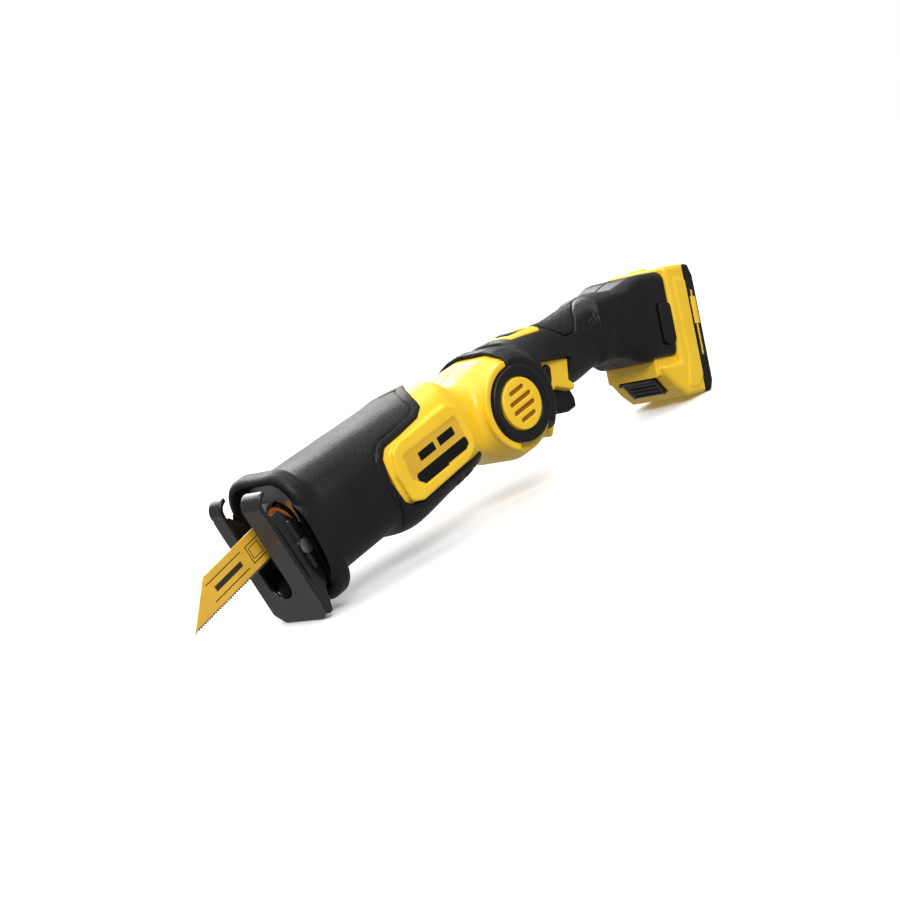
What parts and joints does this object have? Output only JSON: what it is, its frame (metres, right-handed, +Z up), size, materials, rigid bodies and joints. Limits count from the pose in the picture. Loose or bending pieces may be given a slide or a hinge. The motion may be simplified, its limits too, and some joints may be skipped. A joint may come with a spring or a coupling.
{
  "type": "cordless reciprocating saw",
  "caption": "Slim cordless reciprocating saw with a pivoting handle, a tilting slotted shoe, a keyless blade clamp, a sprung trigger and a slide-out battery.",
  "frame": {"origin": "on the ground under the middle of the saw, which stands on the shoe's lower edge and the battery's toe", "axes": "+X from the blade back to the battery, +Z up; +Y is the saw's right-hand side, towards the shoe's narrow prong"},
  "size_m": [0.4006, 0.066, 0.0852],
  "materials": {
    "yellow_plastic": "satin moulded nylon",
    "black_plastic": "satin moulded nylon",
    "boot_rubber": "fine-grained rubber",
    "black_steel": "gloss black coated steel",
    "blade_paint": "satin painted steel",
    "orange_collar": "satin",
    "steel": "machined",
    "cast_alloy": "cast",
    "copper_winding": "lacquered copper wire",
    "brass_parts": "plain bronze and brass",
    "cell_sleeve": "shrink sleeve",
    "carbon": "sintered"
  },
  "bodies": {
    "body": {"left_housing": "yellow_plastic", "right_housing": "yellow_plastic", "gearcase": "cast_alloy", "gearcase_boot": "boot_rubber", "belly_pad": "boot_rubber", "gearcase_screws": "steel", "plunger_bushing": "brass_parts", "plunger_seal": "boot_rubber", "shoe_bracket": "steel", "shoe_pins": "steel", "crank_axle": "steel", "motor_can": "steel", "motor_magnets": "carbon", "motor_end_cap": "black_plastic", "motor_brushes": "carbon", "motor_bearings": "steel", "hub_vents": "yellow_plastic", "detent_ring": "steel", "housing_screws": "steel"},
    "shoe": {"shoe": "black_steel"},
    "crank": {"crank_gear": "steel", "crank_roller": "steel"},
    "rotor": {"rotor_shaft": "steel", "armature": "copper_winding", "commutator": "brass_parts", "cooling_fan": "black_plastic"},
    "plunger": {"plunger": "steel", "clamp_body": "steel", "clamp_pin": "steel", "clamp_spring": "steel", "blade": "blade_paint"},
    "clamp_collar": {"clamp_collar": "orange_collar"},
    "handle": {"left_handle": "black_plastic", "right_handle": "black_plastic", "grip_pad": "boot_rubber", "foot_bumpers": "black_plastic", "switch_plate": "yellow_plastic", "lock_bezel": "yellow_plastic", "switch_module": "black_plastic", "terminal_block": "black_plastic", "trigger_spring": "steel", "slider_spring": "steel", "handle_screws": "steel"},
    "lock_slider": {"lock_slider": "black_plastic"},
    "trigger": {"trigger": "black_plastic"},
    "lock_off": {"lock_off_button": "black_plastic"},
    "battery": {"battery_housing": "yellow_plastic", "battery_cap": "black_plastic", "battery_cells": "cell_sleeve", "battery_contacts": "brass_parts", "battery_screws": "steel", "latch_spring": "steel"},
    "battery_latch": {"battery_latch": "black_plastic"}
  },
  "joints": [
    {"name": "crank_spin", "type": "hinge", "parent": "body", "child": "crank", "pos_m": [-0.07536, 0, 0.04863], "axis": [-0.134, 0, 0.991], "range_deg": [0, 180]},
    {"name": "motor_spin", "type": "hinge", "parent": "body", "child": "rotor", "pos_m": [-0.03115, 0, 0.05006], "axis": [0.991, 0, 0.134], "range_deg": [-900, 0]},
    {"name": "plunger_stroke", "type": "slide", "parent": "body", "child": "plunger", "axis": [-0.972, 0, -0.2351], "range_m": [0, 0.0143]},
    {"name": "clamp_twist", "type": "hinge", "parent": "plunger", "child": "clamp_collar", "pos_m": [-0.11904, 0, 0.05198], "axis": [0.972, 0, 0.2351], "range_deg": [0, 40], "stiffness_Nm_per_rad": 0.02},
    {"name": "shoe_tilt", "type": "hinge", "parent": "body", "child": "shoe", "pos_m": [-0.13336, 0, 0.03947], "axis": [0, 1, 0], "range_deg": [-6, 15]},
    {"name": "handle_pivot", "type": "hinge", "parent": "body", "child": "handle", "pos_m": [0.02931, 0, 0.05067], "axis": [0, 1, 0], "range_deg": [0, 70]},
    {"name": "lock_slide", "type": "slide", "parent": "handle", "child": "lock_slider", "axis": [0.994, 0, -0.1097], "range_m": [0, 0.006], "stiffness_N_per_m": 600, "springref_m": -0.001},
    {"name": "trigger_pull", "type": "slide", "parent": "handle", "child": "trigger", "axis": [0.2198, 0, 0.9755], "range_m": [0, 0.006], "stiffness_N_per_m": 700, "springref_m": -0.002},
    {"name": "lock_off_slide", "type": "slide", "parent": "handle", "child": "lock_off", "axis": [0, 1, 0], "range_m": [-0.003, 0.003]},
    {"name": "battery_slide", "type": "slide", "parent": "handle", "child": "battery", "axis": [0.9755, 0, -0.2198], "range_m": [0, 0.06]},
    {"name": "latch_press", "type": "slide", "parent": "battery", "child": "battery_latch", "axis": [0.8788, 0, 0.4772], "range_m": [0, 0.002], "stiffness_N_per_m": 900, "springref_m": -0.001}
  ],
  "couplings": [
    {"joint": "crank_spin", "follows": "plunger_stroke", "rad_per_m": 219.69},
    {"joint": "motor_spin", "follows": "plunger_stroke", "rad_per_m": -1098.5}
  ]
}
